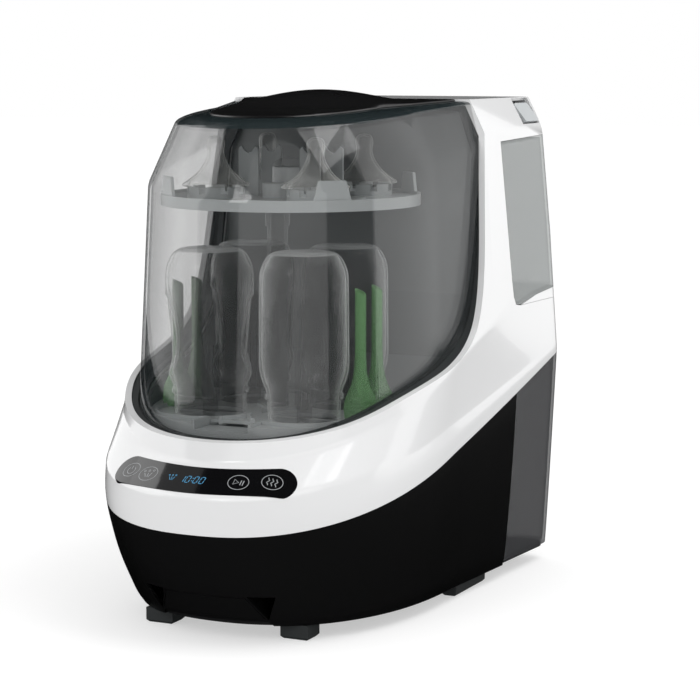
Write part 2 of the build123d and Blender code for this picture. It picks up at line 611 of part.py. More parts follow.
def waste_tank():
    depth = box(-WIDE, WIDE, TANK_FRONT, REAR + 9, 15.4, 260)
    inner = box(-WIDE, WIDE, TANK_FRONT + 2.6, REAR + 9, 18.4, 260)
    tank = (skin & below_seam(0.6) & depth) - (body(CASING, 2.6, rear=REAR - 2.6) & below_seam(3.4) & inner)
    return tank - rod(-70, 195, 150, 210, 17)


def waste_tank_cap():
    return (rod(-70, 195, 150, 210, 17) & below_seam(0.6)) - below_seam(9)


def filter_drawer():
    block = front_block(DRAWER, -190, -60) & body(CASING, 0.0)
    tray = block - front_block([(-42, 18.4), (-32.5, 40), (32.5, 40), (42, 18.4)], -124, -62.5)
    return tray


def filter_element():
    block = front_block([(-41.6, 18.6), (-33.5, 34), (33.5, 34), (41.6, 18.6)], -123.6, -63)
    return block - [box(x - 0.9, x + 0.9, -122, -64.5, 24, 40) for x in range(-28, 29, 7)]


def release_button(side):
    return button_block(side, 0, -0.7, 5.5)


# ---------------------------------------------------------------- export
def parts():
    """Every node's name with its shape or list of shapes."""
    yield from {
        "base_shell": base_shell(), "base_plate": base_plate(), "housing_screws": housing_screws(),
        "feet": feet(), "upper_housing": upper_housing(), "control_lens": control_lens(),
        "display_module": display_module(), "control_board": control_board(),
        "wash_chamber": wash_chamber(), "rim_seal": rim_seal(), "sump_filter": sump_filter(),
        "heating_plate": heating_plate(), "wash_pump": wash_pump(), "wash_impeller": wash_impeller(),
        "drain_pump": drain_pump(), "blower_housing": blower_housing(), "blower_wheel": blower_wheel(),
        "air_duct": air_duct(), "power_board": power_board(), "power_inlet": power_inlet(),
        "water_hoses": water_hoses(), "tank_dock": tank_dock(), "lid_cover": lid_cover(),
        "lid_handle": lid_handle(), "handle_clips": handle_clips(), "lower_rack": lower_rack(),
        "spray_post": spray_post(), "spray_manifold": spray_manifold(),
        "bottle_nozzles": bottle_nozzles(), "side_nozzles": side_nozzles(),
        "upper_rack": upper_rack(), "rack_hub": rack_hub(), "clean_tank": clean_tank(),
        "clean_tank_foot": clean_tank_foot(),
        "clean_tank_cap": clean_tank_cap(), "port_seal": port_seal(), "waste_tank": waste_tank(),
        "waste_tank_cap": waste_tank_cap(), "filter_drawer": filter_drawer(),
        "filter_element": filter_element(), "release_button_left": release_button(-1),
        "release_button_right": release_button(1),
    }.items()
    for number, (x, y) in enumerate(BOTTLES, 1):
        yield f"bottle_{number}", bottle(x, y)
    for number, (x, y) in enumerate(TEATS, 1):
        yield f"teat_{number}", teat(x, y)


for name, shape in parts():
    pieces = shape if isinstance(shape, list) else [shape]
    solids = [solid for piece in pieces for solid in piece.solids()]
    export_step(Pos(0, AXIS_Y, 0) * Compound(solids), f"parts/{name}.step")
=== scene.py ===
import json
from math import asin, atan2, cos, pi, radians, sin, sqrt, tan

import bmesh
import bpy
import numpy as np
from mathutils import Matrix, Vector
from mathutils.bvhtree import BVHTree


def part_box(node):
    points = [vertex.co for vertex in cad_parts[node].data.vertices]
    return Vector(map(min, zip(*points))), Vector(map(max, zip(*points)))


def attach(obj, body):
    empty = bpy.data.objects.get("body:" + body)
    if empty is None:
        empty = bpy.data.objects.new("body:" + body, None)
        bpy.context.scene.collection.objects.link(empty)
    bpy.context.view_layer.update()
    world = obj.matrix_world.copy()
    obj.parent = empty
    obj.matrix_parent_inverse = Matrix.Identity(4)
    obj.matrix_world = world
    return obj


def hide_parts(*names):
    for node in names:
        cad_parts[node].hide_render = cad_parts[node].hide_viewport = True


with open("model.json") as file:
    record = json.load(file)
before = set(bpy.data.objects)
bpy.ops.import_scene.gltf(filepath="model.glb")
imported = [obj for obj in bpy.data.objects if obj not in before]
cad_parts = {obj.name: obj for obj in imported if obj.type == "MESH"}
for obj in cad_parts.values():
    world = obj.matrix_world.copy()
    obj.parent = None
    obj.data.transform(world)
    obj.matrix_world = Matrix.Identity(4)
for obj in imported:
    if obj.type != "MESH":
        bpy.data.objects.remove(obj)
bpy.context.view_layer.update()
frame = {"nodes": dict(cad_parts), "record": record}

nodes = frame["nodes"]
upper_low, upper_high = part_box("upper_rack")
AXIS = (upper_low[1] + upper_high[1]) / 2   # the wash chamber's upright axis, along Y
MM = 0.001


def place(x, y, z):
    """A point given in mm about the chamber's axis, as metres in the shared frame."""
    return Vector((x * MM, y * MM + AXIS, z * MM))


# ---------------------------------------------------------------- camera, floor and light
CAMERA_EYE, CAMERA_AIM = (829.9, -1627.2, 448.0), (43.05, 20.55, 208.6)
CAMERA_LENS = 116.0
STUDIO_MIDDLE = (0.0, 0.0, 0.2)
# Each softbox: name, place, width, height and power.
SOFTBOXES = [
    ("softbox_top", (1.0, 0.1, 2.1), 1.2, 1.0, 15),
    ("softbox_front", (-0.6, -2.4, 1.6), 0.7, 0.9, 7),
]
# Each upright card: name, degrees round from the front towards the right, spread in degrees, distance, lower
# edge, upper edge and brightness.
CARDS = [
    ("card_left", -84.0, 84.0, 2.2, 0.0, 3.0, 1.4),
    ("card_front", 27.5, 79.0, 2.5, 0.0, 3.4, 0.72),
    ("card_right", 134.0, 58.0, 2.2, 0.0, 3.4, 1.25),
]
OVERHEAD_PLACE, OVERHEAD_SIZE, OVERHEAD_BRIGHTNESS = (-1.7, 0.0, 2.1), (1.3, 2.0), 0.28


def add_camera():
    data = bpy.data.cameras.new("camera")
    data.lens = CAMERA_LENS
    camera = bpy.data.objects.new("camera", data)
    bpy.context.scene.collection.objects.link(camera)
    eye, aim = place(*CAMERA_EYE), place(*CAMERA_AIM)
    camera.location = eye
    camera.rotation_euler = (aim - eye).to_track_quat("-Z", "Y").to_euler()
    bpy.context.scene.camera = camera


def add_softbox(name, location, aim, width, height, power):
    data = bpy.data.lights.new(name, "AREA")
    data.shape = "RECTANGLE"
    data.size, data.size_y = width, height
    data.energy = power
    light = bpy.data.objects.new(name, data)
    bpy.context.scene.collection.objects.link(light)
    light.location = Vector(location)
    light.rotation_euler = (Vector(aim) - light.location).to_track_quat("-Z", "Y").to_euler()
    return light


def card_power(brightness, width, height):
    """The power at which an area light of this size shows with this brightness."""
    return brightness * pi * width * height


def add_card(name, degrees_round, spread, distance, low, high, brightness):
    """A bright upright card that shows only in reflections."""
    angle = radians(degrees_round)
    width, height = 2 * distance * tan(radians(spread / 2)), high - low
    location = (distance * sin(angle), -distance * cos(angle), (low + high) / 2)
    power = card_power(brightness, width, height)
    card = add_softbox(name, location, (0.0, 0.0, location[2]), width, height, power)
    card.visible_diffuse = False
    card.visible_transmission = False


def add_studio():
    """A white floor and surround that reflections don't see, softboxes, and cards for the reflections."""
    bm = bmesh.new()
    bmesh.ops.create_grid(bm, x_segments=1, y_segments=1, size=12.0)
    mesh = bpy.data.meshes.new("floor")
    bm.to_mesh(mesh)
    bm.free()
    floor = bpy.data.objects.new("floor", mesh)
    bpy.context.scene.collection.objects.link(floor)
    floor.visible_glossy = False
    mesh.materials.append(plastic("floor_white", (0.52, 0.52, 0.52), rough=1.0, grain=0.0, mottle=0.004,
                                  Specular_IOR_Level=0.0, Emission_Color=(1, 1, 1, 1), Emission_Strength=0.50))

    world = bpy.data.worlds.new("studio")
    bpy.context.scene.world = world
    world.use_nodes = True
    surround = world.node_tree.nodes["Background"]
    surround.inputs["Color"].default_value = (1, 1, 1, 1)
    surround.inputs["Strength"].default_value = 1.0
    world.cycles_visibility.glossy = False
    bpy.context.scene.view_settings.view_transform = "Standard"

    for name, location, width, height, power in SOFTBOXES:
        add_softbox(name, location, STUDIO_MIDDLE, width, height, power)
    for card in CARDS:
        add_card(*card)
    overhead = add_softbox("card_above", OVERHEAD_PLACE, (*OVERHEAD_PLACE[:2], 0.0), *OVERHEAD_SIZE,
                           card_power(OVERHEAD_BRIGHTNESS, *OVERHEAD_SIZE))
    overhead.visible_diffuse = False


# ---------------------------------------------------------------- materials
CLOUD_SCALE, GRAIN_SCALE, GRAIN_DEPTH = 14.0, 2080.0, 0.0003
GLOSS_SPREAD = 0.12   # how far the roughness wanders to either side of its value, as a share of it


def plastic(name, colour, rough=0.35, grain=0.02, mottle=0.03, grain_scale=GRAIN_SCALE, **sockets):
    """Moulded plastic: a faint cloudiness in its colour and gloss, and a fine moulded grain."""
    mat = bpy.data.materials.new(name)
    mat.use_nodes = True
    tree = mat.node_tree
    shader = tree.nodes["Principled BSDF"]
    coords = tree.nodes.new("ShaderNodeTexCoord")
    cloud = tree.nodes.new("ShaderNodeTexNoise")
    cloud.inputs["Scale"].default_value = CLOUD_SCALE
    cloud.inputs["Detail"].default_value = 4.0
    tree.links.new(coords.outputs["Object"], cloud.inputs["Vector"])
    tint = tree.nodes.new("ShaderNodeMix")
    tint.data_type = "RGBA"
    tint.inputs[6].default_value = (*[c * (1 - mottle) for c in colour], 1)
    tint.inputs[7].default_value = (*[min(1.0, c * (1 + mottle)) for c in colour], 1)
    tree.links.new(cloud.outputs["Fac"], tint.inputs["Factor"])
    tree.links.new(tint.outputs[2], shader.inputs["Base Color"])
    gloss = tree.nodes.new("ShaderNodeMapRange")
    gloss.inputs["To Min"].default_value = rough * (1 - GLOSS_SPREAD)
    gloss.inputs["To Max"].default_value = min(1.0, rough * (1 + GLOSS_SPREAD))
    tree.links.new(cloud.outputs["Fac"], gloss.inputs["Value"])
    tree.links.new(gloss.outputs["Result"], shader.inputs["Roughness"])
    if grain:
        fine = tree.nodes.new("ShaderNodeTexNoise")
        fine.inputs["Scale"].default_value = grain_scale
        fine.inputs["Detail"].default_value = 2.0
        tree.links.new(coords.outputs["Object"], fine.inputs["Vector"])
        bump = tree.nodes.new("ShaderNodeBump")
        bump.inputs["Strength"].default_value = grain
        bump.inputs["Distance"].default_value = GRAIN_DEPTH
        tree.links.new(fine.outputs["Fac"], bump.inputs["Height"])
        tree.links.new(bump.outputs["Normal"], shader.inputs["Normal"])
    for socket, value in sockets.items():
        shader.inputs[socket.replace("_", " ")].default_value = value
    return mat


def clear(name, colour, rough, face_on, edge_on, power=2.5, **sockets):
    """See-through plastic: thin where looked at squarely and denser where its wall is seen along.

    Alpha thins the reflections too, so the clearest pieces have a raised IOR that brings them back.
    """
    mat = plastic(name, colour, rough, grain=0.0, mottle=0.02, **sockets)
    tree = mat.node_tree
    shader = tree.nodes["Principled BSDF"]
    weight = tree.nodes.new("ShaderNodeLayerWeight")
    weight.inputs["Blend"].default_value = 0.5
    steep = tree.nodes.new("ShaderNodeMath")
    steep.operation = "POWER"
    steep.inputs[1].default_value = power
    tree.links.new(weight.outputs["Facing"], steep.inputs[0])
    density = tree.nodes.new("ShaderNodeMapRange")
    density.inputs["To Min"].default_value = face_on
    density.inputs["To Max"].default_value = edge_on
    tree.links.new(steep.outputs["Value"], density.inputs["Value"])
    tree.links.new(density.outputs["Result"], shader.inputs["Alpha"])
    return mat


MATERIALS = {
    "white_shell": plastic("white_shell", (0.71, 0.712, 0.716), 0.16, grain=0.01, mottle=0.01,
                           Coat_Weight=0.4),
    "black_shell": plastic("black_shell", (0.0046, 0.0046, 0.0048), 0.30, grain=0.04, Specular_IOR_Level=0.35),
    "panel_black": plastic("panel_black", (0.004, 0.004, 0.0045), 0.08, grain=0.0, Coat_Weight=0.5),
    "clear_tank": clear("clear_tank", (0.29, 0.31, 0.305), 0.12, 0.42, 0.85),
    "smoke_tank": clear("smoke_tank", (0.062, 0.063, 0.066), 0.16, 0.50, 0.92),
    "lid_clear": clear("lid_clear", (0.030, 0.036, 0.038), 0.03, 0.12, 0.75, power=3.0, IOR=3.2),
    "bottle_clear": clear("bottle_clear", (0.95, 0.97, 0.96), 0.04, 0.03, 0.95, power=3.6, IOR=3.4),
    "silicone": clear("silicone", (0.93, 0.94, 0.90), 0.06, 0.05, 0.92, power=3.2, IOR=3.0),
    "grey_inner": plastic("grey_inner", (0.17, 0.18, 0.18), 0.35),
    "lid_dark": clear("lid_dark", (0.020, 0.028, 0.030), 0.08, 0.62, 0.95),
    "frosted": clear("frosted", (0.85, 0.88, 0.87), 0.20, 0.05, 0.40, power=3.0, IOR=2.0),
    "rack_grey": plastic("rack_grey", (0.38, 0.40, 0.40), 0.30),
    "white_inner": plastic("white_inner", (0.60, 0.62, 0.61), 0.30),
    "green_inner": clear("green_inner", (0.22, 0.46, 0.20), 0.22, 0.42, 0.90),
    "dark_plastic": plastic("dark_plastic", (0.012, 0.012, 0.013), 0.45, grain=0.06),
    "plate_black": plastic("plate_black", (0.008, 0.008, 0.0085), 0.28, grain=0.03),
    "symbol_grey": plastic("symbol_grey", (0.30, 0.31, 0.32), 0.5, grain=0.0),
    "figure_blue": plastic("figure_blue", (0.03, 0.12, 0.20), 0.4, grain=0.0,
                           Emission_Color=(0.06, 0.30, 0.55, 1), Emission_Strength=0.55),
    "seal_black": plastic("seal_black", (0.022, 0.026, 0.027), 0.55, grain=0.08),
    "steel": plastic("steel", (0.55, 0.55, 0.55), 0.30, grain=0.03, Metallic=1.0),
    "cast": plastic("cast", (0.45, 0.45, 0.46), 0.50, grain=0.15, Metallic=1.0),
    "board_green": plastic("board_green", (0.02, 0.10, 0.04), 0.45),
    "button_grey": plastic("button_grey", (0.48, 0.50, 0.51), 0.30),
    "filter_pad": plastic("filter_pad", (0.70, 0.70, 0.64), 0.90, grain=0.4, grain_scale=960.0),
}
OWN_LOOK = {"bottle_nozzles": "frosted", "spray_post": "frosted", "rack_hub": "frosted"}
NO_SHADOW = ("bottle_nozzles", "side_nozzles", "spray_post")   # so that light reaches the bottles' insides


def dress_cad_nodes():
    """Each CAD node takes the material of its slot, or its own look."""
    for part in frame["record"]["subparts"]:
        name = part["node"]
        look = MATERIALS[OWN_LOOK.get(name, part["material_slot"])]
        mesh_slots = nodes[name].material_slots
        if not mesh_slots:
            nodes[name].data.materials.append(look)
        for entry in mesh_slots:
            entry.material = look
    for name in NO_SHADOW:
        nodes[name].visible_shadow = False


# ---------------------------------------------------------------- lofted shells
# Cross-sections of the housing and of the lid, all in mm about the chamber's axis: height at the nose,
# climb per unit of depth, half width, depth of the widest point, reach of the nose, roundness of the
# nose, half width at the back, and how far the edge at this section is blended up and down.
CASING = [
    (12.0, 0.00, 123.0, 44.0, 135.0, 2.30, 134.4, 0.0),
    (19.0, 0.02, 126.5, 41.0, 140.5, 2.32, 135.5, 3.4),
    (50.0, 0.12, 133.0, 32.0, 159.0, 2.40, 139.5, 15.0),
    (88.0, 0.25, 137.5, 21.0, 171.0, 2.45, 144.0, 14.0),
    (117.7, 0.19, 135.0, 20.0, 176.0, 2.35, 143.6, 2.6),
    (139.0, 0.36, 137.0, 20.0, 148.0, 2.05, 137.5, 2.6),
    (157.0, 0.36, 135.0, 20.0, 143.5, 2.10, 136.3, 8.0),
    (345.0, 0.36, 123.2, 20.0, 143.5, 2.10, 118.2, 0.0),
]
LID = [
    (140.0, 0.00, 124.5, 25.0, 134.5, 2.20, 131.0, 0.0),
    (336.4, 0.165, 114.5, 32.0, 124.0, 2.25, 123.0, 3.5),
    (393.7, 0.073, 92.0, 35.0, 101.0, 2.30, 112.0, 3.6),
    (398.2, 0.058, 78.0, 35.0, 87.0, 2.20, 103.0, 0.0),
]
# Side views, as depth and height: the line where the lid meets the housing and that line's top, three points
# of the seam between the white and the black housing, the tower's window, and the way by which the clear
# tank pulls out.
RIM_LINE = [(-150, 153.5), (-88, 170), (-50, 183.5), (0, 196.5), (46, 211), (70, 229),
            (86, 262), (97, 320), (105, 374)]
RIM_TOP = (112.0, 420.0)
SEAM = [(-180, 85.5), (36, 134), (252, 193)]
WINDOW = [(139.5, 375.5), (275, 380), (275, 249), (245, 246), (195, 242), (160, 236.5), (149, 237.5),
          (145, 245), (144, 258)]
TANK_WAY = [*WINDOW[:2], (275, 236), (159, 236), *WINDOW[-3:]]
REAR, LID_REAR, TANK_FRONT = 245.0, 122.0, 145.0   # the housing's and lid's backs, the waste tank's front
WALL, LIP_WALL, LIP_DEPTH = 3.0, 5.3, 9.0   # the housing's wall, and the thicker lip round the rim
TOWER_TOP, TOWER_FOOT, TOWER_HALF, TOWER_SLOPE = 411.0, 378.0, 128.0, 0.55   # the tower's roof and chamfers
BLEND_STEPS = 6
NOSE_POINTS, SIDE_POINTS, CORNER_POINTS, BACK_POINTS = 72, 22, 8, 6


def curved(start, corner, end):
    """Points from start to end along a curve that is drawn towards corner."""
    shares = [i / BLEND_STEPS for i in range(BLEND_STEPS + 1)]
    return [[s * (1 - t) ** 2 + 2 * t * (1 - t) * c + e * t ** 2 for s, c, e in zip(start, corner, end)]
            for t in shares]


def blended(table):
    """The table's sections with its inner edges rounded by each row's blend, as a dense list."""
    rows = [table[0][:7]]
    for before, row, after in zip(table, table[1:], table[2:]):
        reach = row[7]
        start = [b + (r - b) * (1 - reach / (row[0] - before[0])) for b, r in zip(before[:7], row[:7])]
        end = [r + (a - r) * reach / (after[0] - row[0]) for r, a in zip(row[:7], after[:7])]
        rows += curved(start, row[:7], end)
    rows.append(table[-1][:7])
    return rows


def outline(section, inset, rear, corner):
    """One closed ring of points: the rounded nose, two long sides, two rear corners and the back."""
    height, climb, half_width, widest, reach, power, rear_width = section
    wide, nose, back_wide = half_width - inset, reach - inset, rear_width - inset
    ring = []
    for i in range(NOSE_POINTS):
        angle = pi * i / NOSE_POINTS
        across, ahead = cos(angle), sin(angle)
        ring.append((-wide * (1 if across > 0 else -1) * abs(across) ** (2 / power),
                     widest - (nose + widest) * ahead ** (2 / power)))
    side = []
    for i in range(SIDE_POINTS):
        t = i / SIDE_POINTS
        side.append((wide + (back_wide - wide) * t, widest + (rear - corner - widest) * t))
    for i in range(CORNER_POINTS):
        t = i / CORNER_POINTS
        side.append((back_wide - corner * t ** 2, rear - corner * (1 - t) ** 2))
    for i in range(BACK_POINTS + 1):
        side.append(((back_wide - corner) * (1 - i / BACK_POINTS), rear))
    ring += side + [(-x, y) for x, y in reversed(side[:-1])]
    return [place(x, y, height + climb * (y + section[4])) for x, y in ring[:-1]]


def mesh_object(name, bm):
    bmesh.ops.recalc_face_normals(bm, faces=bm.faces)
    mesh = bpy.data.meshes.new(name)
    bm.to_mesh(mesh)
    bm.free()
    piece = bpy.data.objects.new(name, mesh)
    bpy.context.scene.collection.objects.link(piece)
    return piece


def bridge(bm, rings):
    """Faces between each ring of corners and the next."""
    for low, high in zip(rings, rings[1:]):
        for i in range(len(low)):
            j = (i + 1) % len(low)
            bm.faces.new((low[i], low[j], high[j], high[i]))


def lofted(name, sections, inset=0.0, rear=REAR, corner=16.0):
    """A closed body through every section's outline."""
    bm = bmesh.new()
    rings = [[bm.verts.new(p) for p in outline(s, inset, rear, max(corner - inset, 2.0))] for s in sections]
    bridge(bm, rings)
    bm.faces.new(rings[0][::-1])
    bm.faces.new(rings[-1])
    return mesh_object(name, bm)


def drawn_out(name, first_points, last_points):
    """A closed block between two rings of points."""
    bm = bmesh.new()
    first, last = ([bm.verts.new(point) for point in points] for points in (first_points, last_points))
    bm.faces.new(first)
    bm.faces.new(last)
    bridge(bm, [first, last])
    return mesh_object(name, bm)


def prism(name, points, axis, start, end):
    """A closed block: an outline given across one axis, drawn out along it. All in mm."""
    def at(a, b, along):
        return place(along, a, b) if axis == "X" else place(a, along, b)

    return drawn_out(name, *([at(a, b, along) for a, b in points] for along in (start, end)))


def block(name, x0, x1, y0, y1, z0, z1):
    return prism(name, [(y0, z0), (y1, z0), (y1, z1), (y0, z1)], "X", x0, x1)


def combined(piece, tool, operation):
    """piece after a boolean with tool, applied to its mesh. The tool is used up."""
    change = piece.modifiers.new("change", "BOOLEAN")
    change.operation = operation
    change.object = tool
    change.solver = "EXACT"
    bpy.context.view_layer.update()
    result = bpy.data.meshes.new_from_object(piece.evaluated_get(bpy.context.evaluated_depsgraph_get()))
    piece.modifiers.clear()
    piece.data = result
    bpy.data.objects.remove(tool)
    return piece


def smooth(piece, angle=28.0):
    """Smooth shading that keeps edges sharper than an angle, in degrees."""
    piece.data.polygons.foreach_set("use_smooth", [True] * len(piece.data.polygons))
    piece.data.set_sharp_from_angle(angle=radians(angle))
    return piece


def natural_spline(points, count):
    """Points along the smooth curve through the given ones, by a natural cubic spline."""
    spots = np.array(points, float)
    lengths = np.r_[0, np.cumsum(np.linalg.norm(np.diff(spots, axis=0), axis=1))]
    h = np.diff(lengths)
    n = len(spots)
    system = np.eye(n)
    right = np.zeros_like(spots)
    for i in range(1, n - 1):
        system[i, i - 1:i + 2] = h[i - 1], 2 * (h[i - 1] + h[i]), h[i]
        right[i] = 6 * ((spots[i + 1] - spots[i]) / h[i] - (spots[i] - spots[i - 1]) / h[i - 1])
    bend = np.linalg.solve(system, right)
    curve = []
    for s in np.linspace(0, lengths[-1], count):
        i = min(np.searchsorted(lengths, s, side="right") - 1, n - 2)
        a, b = (lengths[i + 1] - s) / h[i], (s - lengths[i]) / h[i]
        curve.append(a * spots[i] + b * spots[i + 1]
                     + ((a ** 3 - a) * bend[i] + (b ** 3 - b) * bend[i + 1]) * h[i] ** 2 / 6)
    return np.array(curve)


def rim_block(name, grow=0.0):
    """Everything in front of and above the line where the lid meets the housing, moved out by grow."""
    curve = natural_spline(RIM_LINE, 72)
    along = np.gradient(curve, axis=0)
    along /= np.linalg.norm(along, axis=1)[:, None]
    curve = curve + grow * np.c_[along[:, 1], -along[:, 0]]
    top = RIM_TOP[0] + grow
    points = [tuple(p) for p in curve] + [(top, RIM_TOP[1]), (top, 520), (-260, 520), (-260, curve[0][1])]
    return prism(name, points, "X", -205, 205)


def arc_through(first, middle, last, steps=40):
    """Points along the circle's arc through three points."""
    (ax, ay), (bx, by), (cx, cy) = first, middle, last
    d = 2 * (ax * (by - cy) + bx * (cy - ay) + cx * (ay - by))
    a2, b2, c2 = ax * ax + ay * ay, bx * bx + by * by, cx * cx + cy * cy
    ux = (a2 * (by - cy) + b2 * (cy - ay) + c2 * (ay - by)) / d
    uy = (a2 * (cx - bx) + b2 * (ax - cx) + c2 * (bx - ax)) / d
    radius = sqrt((ax - ux) ** 2 + (ay - uy) ** 2)
    start, end = atan2(ay - uy, ax - ux), atan2(cy - uy, cx - ux)
    turns = [start + (end - start) * i / steps for i in range(steps + 1)]
    return [(ux + radius * cos(turn), uy + radius * sin(turn)) for turn in turns]


def seam_block(name, drop=0.0):
    """Everything under the long arc between the white and the black housing."""
    arc = [(y, z - drop) for y, z in arc_through(*SEAM)]
    points = arc + [(arc[-1][0], -60), (arc[0][0] - 60, -60), (arc[0][0] - 60, arc[0][1])]
    return prism(name, points, "X", -203, 203)


def tower_block(name, inset=0.0):
    """Front view of the whole housing: free sides, the tower's chamfers and its flat roof."""
    top, foot, x_foot = TOWER_TOP - inset, TOWER_FOOT - inset * 0.4, TOWER_HALF - inset
    x_top = x_foot - TOWER_SLOPE * (top - foot)
    points = [(-200, -20), (-200, foot), (-x_foot, foot), (-x_top, top), (x_top, top), (x_foot, foot),
              (200, foot), (200, -20)]
    return prism(name, points, "Y", -400, 400)


# ---------------------------------------------------------------- turned pieces
TURNED_SEGMENTS = 96


def turned(name, outline_mm, centre, body, look, node):
    """A closed body turned about an upright line, from a radius-by-height outline in mm."""
    bm = bmesh.new()
    turns = [2 * pi * i / TURNED_SEGMENTS for i in range(TURNED_SEGMENTS)]
    rings = []
    for radius, z in outline_mm:
        around = turns if radius > 1e-6 else [0.0]
        rings.append([bm.verts.new(place(centre[0] + radius * cos(turn), centre[1] + radius * sin(turn), z))
                      for turn in around])
    for low, high in zip(rings, rings[1:] + rings[:1]):
        if len(low) == len(high) == 1:
            continue
        for i in range(TURNED_SEGMENTS):
            j = (i + 1) % TURNED_SEGMENTS
            corners = [low[i % len(low)], low[j % len(low)], high[j % len(high)], high[i % len(high)]]
            bm.faces.new(list(dict.fromkeys(corners)))
    return finished(smooth(mesh_object(name, bm), 40), body, look, node)


def finished(piece, body, look, node=None, slot=None):
    """Gives a piece its material and its body, and hides the CAD node that it stands for; slot is not used."""
    piece.data.materials.clear()
    piece.data.materials.append(MATERIALS[look])
    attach(piece, body)
    slot = slot or look
    if node:
        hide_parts(node)
    return piece


def centre_of(node):
    """The middle of a CAD node seen from above, in mm about the chamber's axis."""
    low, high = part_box(node)
    return (low[0] + high[0]) / 2 / MM, ((low[1] + high[1]) / 2 - AXIS) / MM


def rounded(points, blends):
    """An open outline with each inner corner rounded by the length given for it."""
    result = [points[0]]
    for before, corner, after, blend in zip(points, points[1:], points[2:], blends):
        ends = []
        for end in (before, after):
            gap = sqrt((end[0] - corner[0]) ** 2 + (end[1] - corner[1]) ** 2)
            share = min(blend / gap, 0.49)
            ends.append([c + (e - c) * share for c, e in zip(corner, end)])
        result += curved(ends[0], corner, ends[1])
    return result + [points[-1]]


# ---------------------------------------------------------------- the touch panel and its marks
BAND_TILT = atan2(28.0, 21.3)
BAND_MIDDLE = (0.0, -162.0, 128.4)
BAND_NORMAL = Vector((0, -cos(BAND_TILT), sin(BAND_TILT)))
BAND_UPWARD = Vector((0, sin(BAND_TILT), cos(BAND_TILT)))
SLOT_HALF, SLOT_RISE, SLOT_HEIGHT = 65.0, 11.0, 26.5   # the arched pill: half length, rise of its ends, height
SLOT_GAP, SLOT_DEPTH = 0.15, 2.0
STROKE_FOOT, STROKE_TOP = -0.12, 0.10   # a mark's lower and upper face, from the glass
# The touch keys: across, up and the ring's radius.
BUTTONS = [(-62.2, 9.8, 7.8), (-43.6, 4.4, 8.2), (35.6, 3.0, 8.2), (60.4, 9.6, 8.0)]
RING_SQUAT = 0.86
SEGMENTS = {"0": "abcdef", "1": "bc"}
FIGURE_HEIGHT, FIGURE_WIDTH, FIGURE_LEAN, FIGURE_TRIM = 6.4, 3.3, 0.16, 0.12
DISPLAY_SHIFT = 3.2


def on_band(across, up, out):
    """A point given in mm across the control band, up it and out from it."""
    return place(*BAND_MIDDLE) + Vector((across * MM, 0, 0)) + BAND_UPWARD * up * MM + BAND_NORMAL * out * MM


def slot_block(name):
    """The touch panel's arched pill, with its gap, as a block along the band's normal."""
    radius = (SLOT_HALF ** 2 + SLOT_RISE ** 2) / (2 * SLOT_RISE)
    half, sweep = SLOT_HEIGHT / 2 + SLOT_GAP, asin(SLOT_HALF / radius)

    def long_edge(distance, first):
        turns = [first - first * i / 16 for i in range(33)]
        return [(distance * sin(turn), radius - distance * cos(turn)) for turn in turns]

    def round_end(side):
        turns = [radians(-90 + 12 * k) + sweep for k in range(1, 15)]
        return [(side * SLOT_HALF + half * cos(turn) * side, SLOT_RISE + half * sin(turn)) for turn in turns]

    points = (long_edge(radius + half, -sweep) + round_end(1)
              + long_edge(radius - half, sweep) + round_end(-1)[::-1])
    return drawn_out(name, *([on_band(u, v, depth) for u, v in points] for depth in (-30, 30)))


def panel_point(surface, across, up, lift):
    """A point over the panel's glass: mm across and up its face, lifted off by some mm."""
    hit = surface.ray_cast(on_band(across, up, 30), -BAND_NORMAL)[0]
    return hit + BAND_NORMAL * lift * MM


def ribbon(bm, surface, points, width, closed=False):
    """A thin raised stroke that follows the panel's glass along points across and up its face."""
    count = len(points)
    rows = []
    for i, (u, v) in enumerate(points):
        ahead = points[(i + 1) % count] if closed or i < count - 1 else points[i]
        behind = points[i - 1] if closed or i else points[i]
        du, dv = ahead[0] - behind[0], ahead[1] - behind[1]
        size = max(sqrt(du * du + dv * dv), 1e-9)
        nu, nv = -dv / size * width / 2, du / size * width / 2
        corners = ((1, STROKE_FOOT), (1, STROKE_TOP), (-1, STROKE_TOP), (-1, STROKE_FOOT))
        rows.append([bm.verts.new(panel_point(surface, u + s * nu, v + s * nv, lift)) for s, lift in corners])
    pairs = list(zip(rows, rows[1:])) + ([(rows[-1], rows[0])] if closed else [])
    for a, b in pairs:
        for k in range(4):
            bm.faces.new((a[k], a[(k + 1) % 4], b[(k + 1) % 4], b[k]))
    if not closed:
        bm.faces.new(rows[0])
        bm.faces.new(rows[-1])


def circle(u, v, radius, count, start=0.0, end=2 * pi, squat=1.0):
    """Points along an arc, flattened upward by squat."""
    turns = [start + (end - start) * i / count for i in range(count)]
    return [(u + radius * cos(t), v + radius * squat * sin(t)) for t in turns]


def digit(bm, surface, figure, u, v):
    """One leaning figure of the clock display, from its lit segments."""
    width, height, half = FIGURE_WIDTH, FIGURE_HEIGHT, FIGURE_HEIGHT / 2
    ends = {"a": ((0, height), (width, height)), "b": ((width, height), (width, half)),
            "c": ((width, half), (width, 0)), "d": ((0, 0), (width, 0)), "e": ((0, half), (0, 0)),
            "f": ((0, height), (0, half))}
    for name in SEGMENTS[figure]:
        (u0, v0), (u1, v1) = ends[name]
        line = [(u0 + (u1 - u0) * t, v0 + (v1 - v0) * t) for t in (FIGURE_TRIM, 1 - FIGURE_TRIM)]
        ribbon(bm, surface, [(u + a + b * FIGURE_LEAN, v + b) for a, b in line], 0.6)


